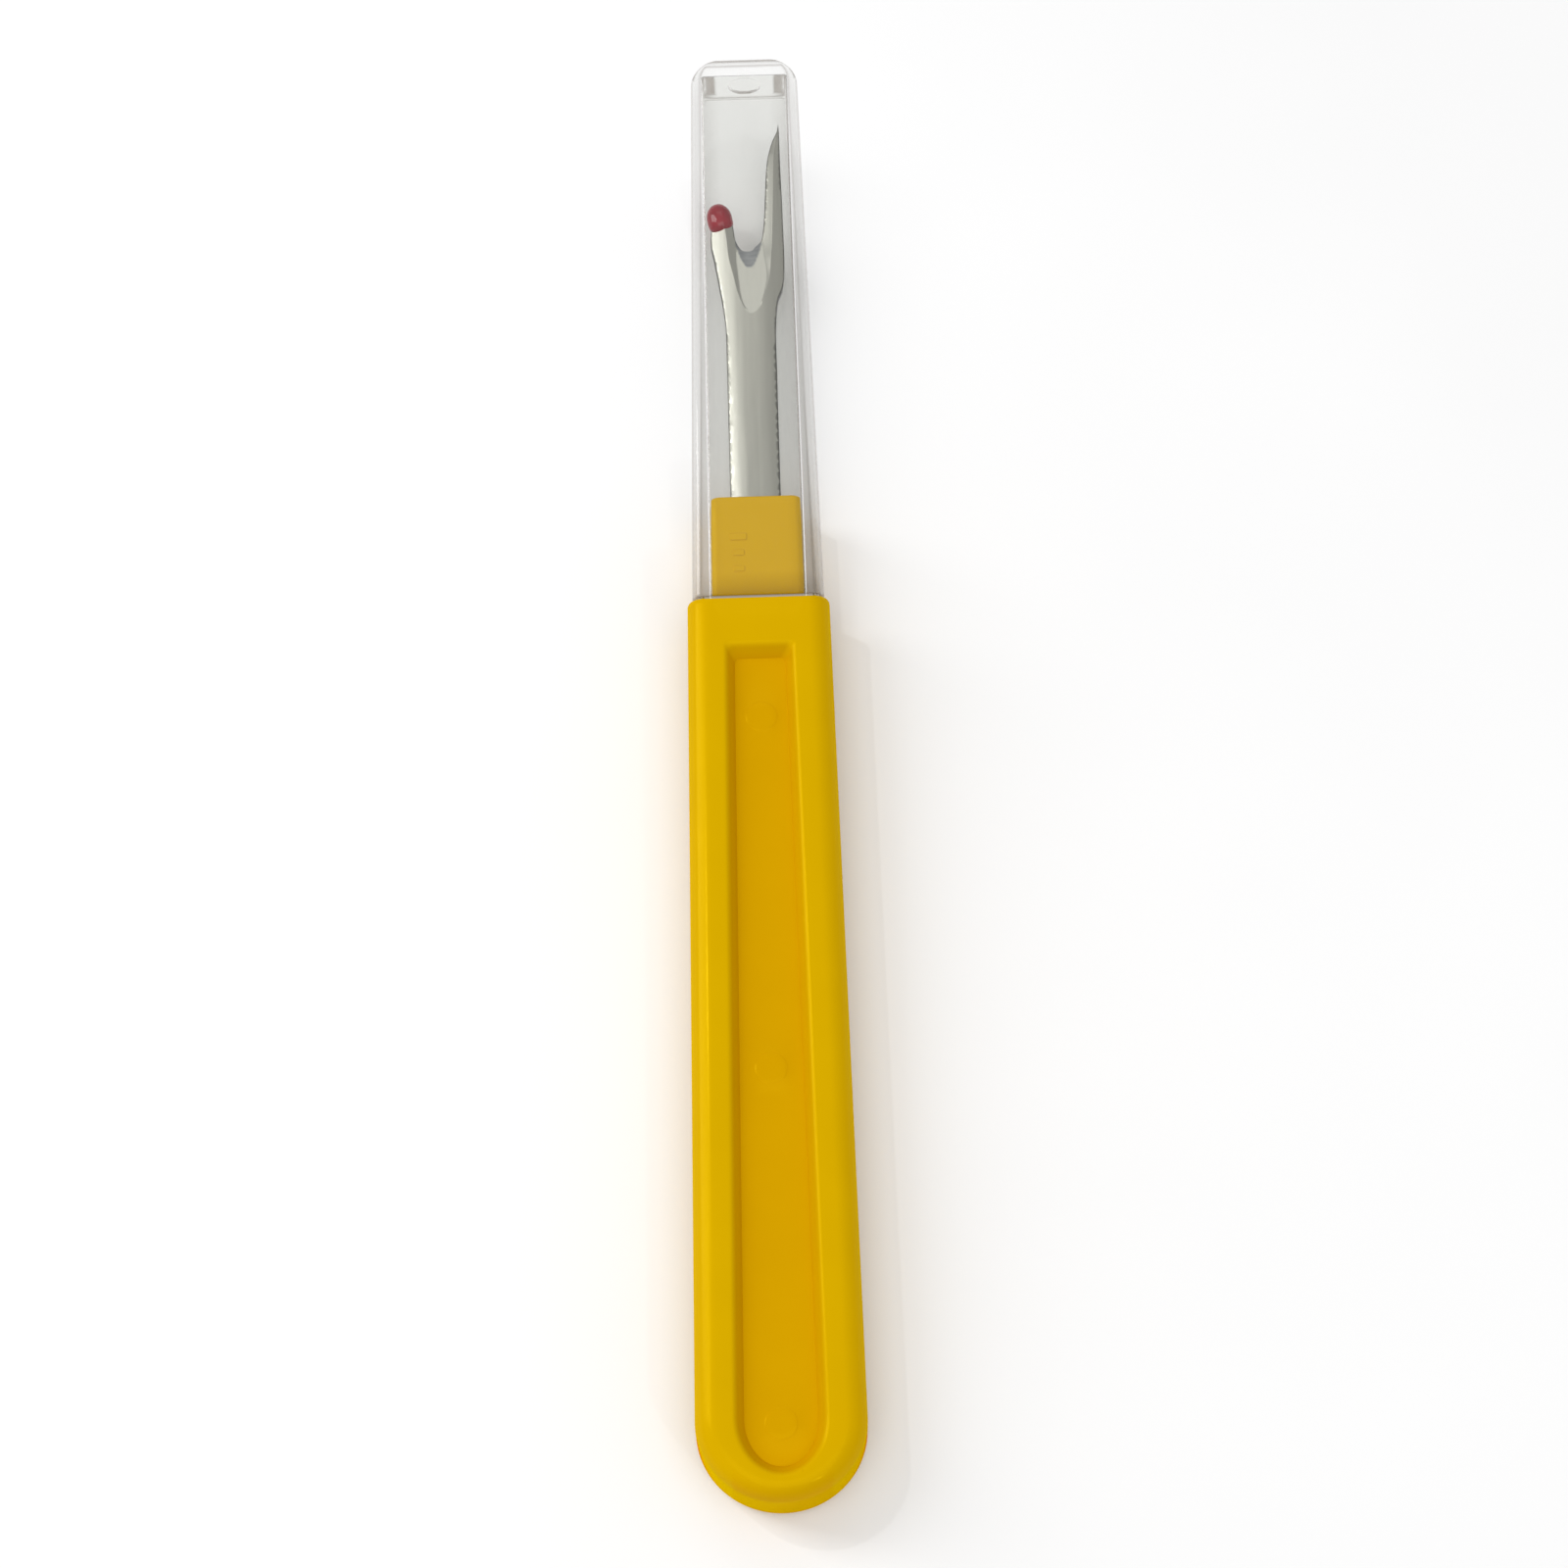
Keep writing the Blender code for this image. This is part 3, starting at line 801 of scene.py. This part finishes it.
def painted_edge_shade(place):
    """How much painted shade the cap gets at a point: on its outline, its walls, its mouth and the
    dimple's wall.
    """
    from_end = CAP_HIGH.y - place.y
    if from_end < END_FACE:
        return 0
    side = max(cap_half_width(place.y) - abs(place.x), 0)
    if side < CAVITY_SIDE or abs(place.z - MID_Z) > CAVITY_MOUTH[1] / 2 + CAP_LIP:
        outline = 1 - min(side, abs(from_end - OUTLINE_WIDTH)) / OUTLINE_WIDTH
        inner_line = INNER_LINE_SHADE * (1 - abs(min(side, from_end) - INNER_LINE) / INNER_LINE_WIDTH)
        mouth = 1 - (place.y - CAP_LOW.y) / OUTLINE_WIDTH
        wall = WALL_SHADE * min(max((WALL_WIDTH - side) / INNER_LINE_WIDTH, 0), 1)
        return max(outline, inner_line, mouth, wall * min(from_end / WALL_FADE, 1))
    low, high = DIMPLE_SHADE_SHARES
    return DIMPLE_SHADE if low < (CAP_END_WALL - from_end) / DIMPLE_DEPTH < high else 0


def cap_rings():
    """Rings from the closed end down the outside, round the lip and up the inside to the dimple."""
    mouth_y, end_y = CAP_LOW.y, CAP_HIGH.y
    cavity_end_y = end_y - CAP_END_WALL
    outer_round = (CAP_CORNER, CAP_END_ROUNDING, CAP_END_EDGE)
    inner_round = (CAVITY_CORNER, CAVITY_ROUNDING, CAVITY_ROUNDING)
    outer_end = domed_end(end_y, CAP_END, *outer_round, CAP_END_STEPS)
    inner_end = domed_end(cavity_end_y, CAVITY_END, *inner_round, CAVITY_END_STEPS)
    outer_lip = [cap_ring(mouth_y + CAP_LIP, CAP_MOUTH, (0, 0), CAP_CORNER)]
    outer_lip.append(cap_ring(mouth_y, CAP_MOUTH, (CAP_LIP, CAP_LIP), CAP_CORNER))
    inner_lip = [cap_ring(mouth_y, CAVITY_MOUTH, (-CAP_LIP, -CAP_LIP), CAVITY_CORNER)]
    inner_lip.append(cap_ring(mouth_y + CAP_LIP, CAVITY_MOUTH, (0, 0), CAVITY_CORNER))
    return [
        *outer_end,
        *rings_between(outer_end[-1], outer_lip[0], CAP_STEPS),
        *outer_lip,
        *inner_lip,
        *rings_between(inner_lip[-1], inner_end[-1], CAP_STEPS),
        *reversed(inner_end),
        *[
            round_ring(inner_end[0], cavity_end_y + DIMPLE_DEPTH * share, DIMPLE_RADIUS - inset)
            for share, inset in DIMPLE_WALL
        ],
    ]


def build_cap(material):
    """The clear cap as one shell, which hands its painted shade to the material point by point."""
    cap = closed_stack("cap_shell", cap_rings(), material, SHARP_DEG["cap"])
    edge = cap.data.attributes.new("edge", "FLOAT", "POINT")
    for vertex, entry in zip(cap.data.vertices, edge.data):
        entry.value = painted_edge_shade(vertex.co)
    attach(cap, "cap")
    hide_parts("cap")
    return cap


# ---- Studio ----


def build_floor(material):
    """A plain square floor, which the tool lies on."""
    half = 1.5
    corners = [(-half, -half, 0), (half, -half, 0), (half, half, 0), (-half, half, 0)]
    mesh = bpy.data.meshes.new("floor")
    mesh.from_pydata(corners, [], [(0, 1, 2, 3)])
    mesh.materials.append(material)
    floor = bpy.data.objects.new("floor", mesh)
    bpy.context.scene.collection.objects.link(floor)


def panel(name, place, size, power):
    """A rectangular light of a size in metres and a power in watts, which faces the middle of the tool."""
    light = bpy.data.lights.new(name, "AREA")
    light.shape = "RECTANGLE"
    light.size, light.size_y = size
    light.energy = power
    made = bpy.data.objects.new(name, light)
    made.location = place
    made.rotation_euler = Vector(place).to_track_quat("Z", "Y").to_euler()
    bpy.context.scene.collection.objects.link(made)


def build_light():
    """Two large soft panels, a faint one for the rims, two small ones for glints, and a white world."""
    panel("key_panel", (-0.60, 0.22, 0.42), (0.25, 0.60), 2.4)
    panel("top_panel", (0.05, -0.30, 0.80), (0.8, 0.7), 2.8)
    panel("back_panel", (0, 0.50, 0.61), (0.5, 0.2), 0.30)
    panel("key_spot", (-0.30, 0.18, 0.55), (0.012, 0.012), 0.28)
    panel("low_spot", (0.22, -0.36, 0.36), (0.012, 0.012), 0.12)
    world = bpy.data.worlds.new("studio")
    world.use_nodes = True
    background = world.node_tree.nodes["Background"]
    background.inputs["Color"].default_value = (1, 1, 1, 1)
    background.inputs["Strength"].default_value = 0.5
    # Rays through the clear cap don't see the world, which darkens the cap's edges
    world.cycles_visibility.transmission = False
    bpy.context.scene.world = world
    bpy.context.scene.view_settings.view_transform = "Standard"


def build_camera():
    """The camera, tilted towards the butt and turned a little about its own axis."""
    camera = bpy.data.objects.new("camera", bpy.data.cameras.new("camera"))
    camera.data.lens = CAMERA_LENS
    away = Vector((0, -math.sin(CAMERA_TILT), math.cos(CAMERA_TILT)))
    camera.location = CAMERA_TARGET + away * CAMERA_DISTANCE
    turned = away.to_track_quat("Z", "Y") @ Quaternion((0, 0, 1), CAMERA_ROLL)
    camera.rotation_euler = turned.to_euler()
    bpy.context.scene.collection.objects.link(camera)
    bpy.context.scene.camera = camera


build_handle(yellow_plastic())
build_blade(ground_steel())
build_bead(red_bead())
cap = build_cap(clear_plastic())
# The lights reach what is inside the cap once, as if it weren't there
cap.visible_shadow = False
cap.visible_diffuse = False
cap.visible_glossy = False
build_floor(floor_paint())
build_light()
build_camera()
